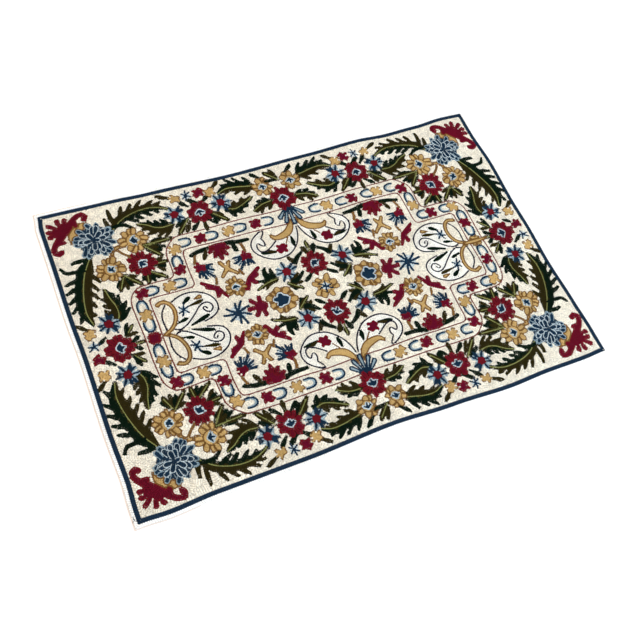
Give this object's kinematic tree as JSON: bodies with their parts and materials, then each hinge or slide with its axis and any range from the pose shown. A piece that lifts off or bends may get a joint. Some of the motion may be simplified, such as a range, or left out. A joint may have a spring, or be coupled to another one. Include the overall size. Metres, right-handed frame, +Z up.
{
  "type": "crewel embroidery panel",
  "caption": "Rectangular cotton panel worked all over in wool chain stitch with a traditional floral layout and a plain corded border line. It lies flat as a mat, cover or hanging.",
  "frame": {"origin": "middle of the flat underside, under the middle of the cloth's box", "axes": "+X along the long side, +Y across the cloth, +Z up out of the worked face"},
  "size_m": [0.916, 0.61, 0.0036],
  "materials": {
    "cloth": "matt wool chain stitch on a cotton ground"
  },
  "bodies": {
    "root": {"panel": "cloth"}
  },
  "joints": []
}
